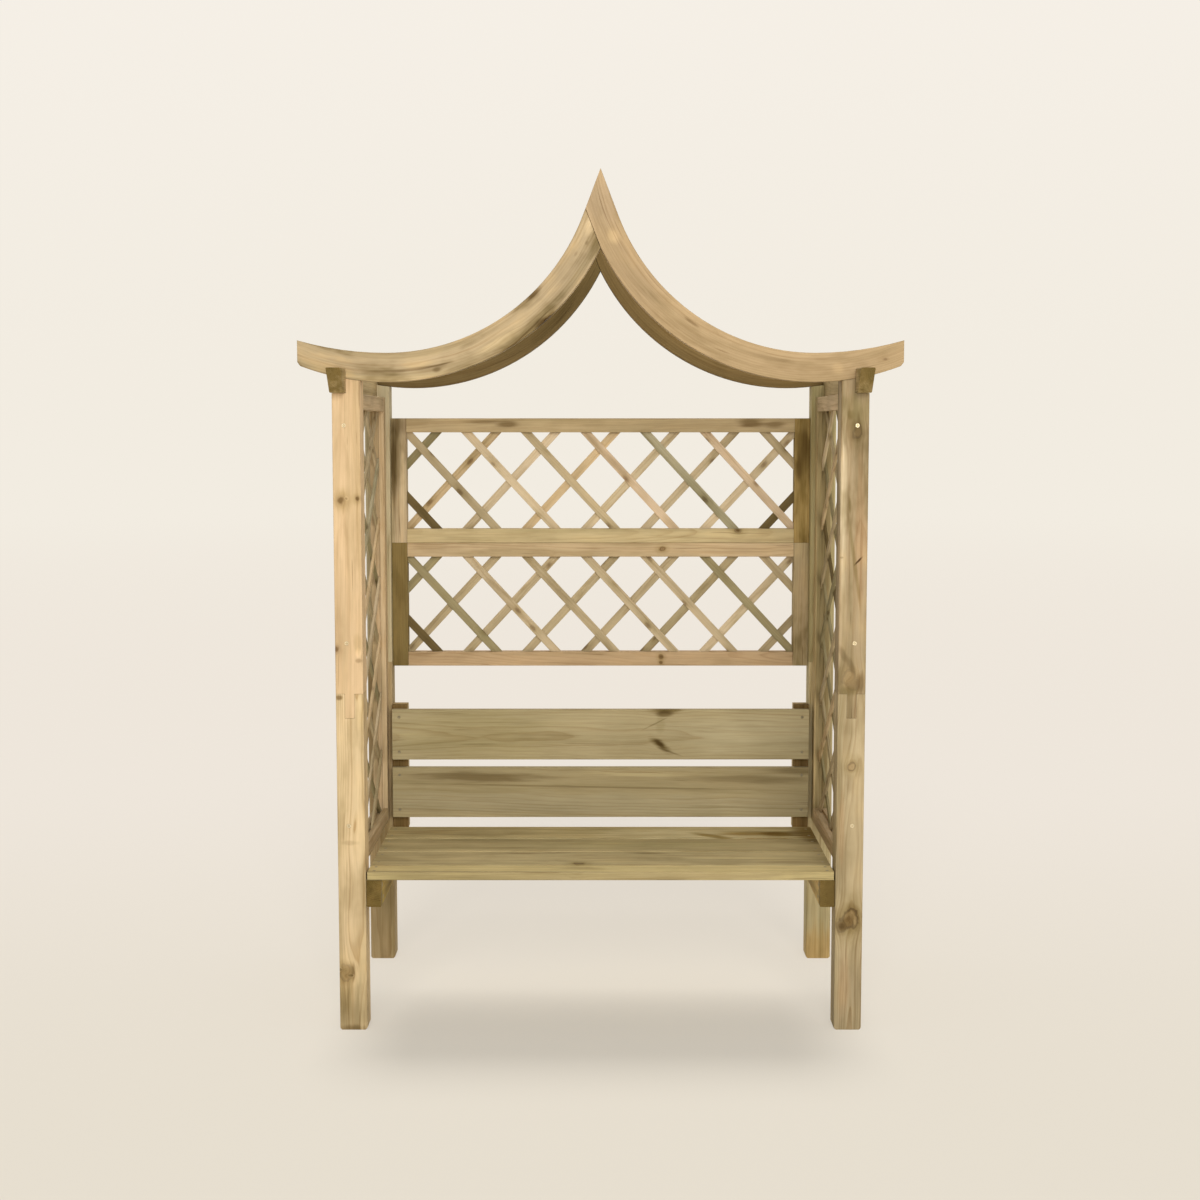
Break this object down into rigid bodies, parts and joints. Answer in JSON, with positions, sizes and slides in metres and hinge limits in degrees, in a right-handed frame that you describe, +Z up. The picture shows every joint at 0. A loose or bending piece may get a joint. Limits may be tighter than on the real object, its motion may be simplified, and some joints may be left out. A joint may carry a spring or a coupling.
{
  "type": "arbour seat",
  "caption": "Timber garden arbour: a slatted bench and backrest between posts, with trellis sides and back under an open, upswept ogee roof.",
  "frame": {"origin": "on the ground, midway between the four posts", "axes": "+Z up, +Y towards the back, +X to the right as seen from the front"},
  "size_m": [1.508, 0.89, 2.179],
  "materials": {
    "pale_pine": "planed, pressure-treated pine, pale and yellow, with knots",
    "warm_pine": "planed, pressure-treated pine, a warmer and darker tan, with knots",
    "olive_pine": "planed, pressure-treated pine with a green and olive tint",
    "seat_pine": "planed, pressure-treated pine, olive brown",
    "lattice_pine": "sawn, pressure-treated pine slats",
    "zinc_screws": "dull zinc plate"
  },
  "bodies": {
    "root": {"front_left_post_lower": "pale_pine", "front_left_post_upper": "pale_pine", "rear_left_post_lower": "olive_pine", "rear_left_post_upper": "olive_pine", "front_right_post_lower": "warm_pine", "front_right_post_upper": "warm_pine", "rear_right_post_lower": "olive_pine", "rear_right_post_upper": "olive_pine", "front_left_post_screw_top": "zinc_screws", "front_left_post_screw_middle": "zinc_screws", "front_left_post_screw_low": "zinc_screws", "front_right_post_screw_top": "zinc_screws", "front_right_post_screw_middle": "zinc_screws", "front_right_post_screw_low": "zinc_screws", "left_eaves_rail": "olive_pine", "right_eaves_rail": "olive_pine", "front_left_rafter": "pale_pine", "front_right_rafter": "warm_pine", "rear_left_rafter": "olive_pine", "rear_right_rafter": "olive_pine", "left_side_panel_front_stile": "warm_pine", "left_side_panel_rear_stile": "warm_pine", "left_side_panel_bottom_rail": "warm_pine", "left_side_panel_top_rail": "warm_pine", "left_side_panel_lattice": "lattice_pine", "right_side_panel_front_stile": "warm_pine", "right_side_panel_rear_stile": "warm_pine", "right_side_panel_bottom_rail": "warm_pine", "right_side_panel_top_rail": "warm_pine", "right_side_panel_lattice": "lattice_pine", "upper_rear_panel_left_stile": "warm_pine", "upper_rear_panel_right_stile": "warm_pine", "upper_rear_panel_bottom_rail": "warm_pine", "upper_rear_panel_top_rail": "warm_pine", "upper_rear_panel_lattice": "lattice_pine", "lower_rear_panel_left_stile": "warm_pine", "lower_rear_panel_right_stile": "warm_pine", "lower_rear_panel_bottom_rail": "warm_pine", "lower_rear_panel_top_rail": "warm_pine", "lower_rear_panel_lattice": "lattice_pine", "seat_front_board": "seat_pine", "seat_board_1": "seat_pine", "seat_board_2": "seat_pine", "seat_board_3": "seat_pine", "seat_centre_cleat": "seat_pine", "left_seat_bearer": "olive_pine", "right_seat_bearer": "olive_pine", "lower_back_board": "olive_pine", "upper_back_board": "olive_pine", "left_back_batten": "olive_pine", "right_back_batten": "olive_pine", "lower_back_board_screw_left_upper": "zinc_screws", "lower_back_board_screw_left_lower": "zinc_screws", "lower_back_board_screw_right_upper": "zinc_screws", "lower_back_board_screw_right_lower": "zinc_screws", "upper_back_board_screw_left_upper": "zinc_screws", "upper_back_board_screw_left_lower": "zinc_screws", "upper_back_board_screw_right_upper": "zinc_screws", "upper_back_board_screw_right_lower": "zinc_screws"}
  },
  "joints": []
}
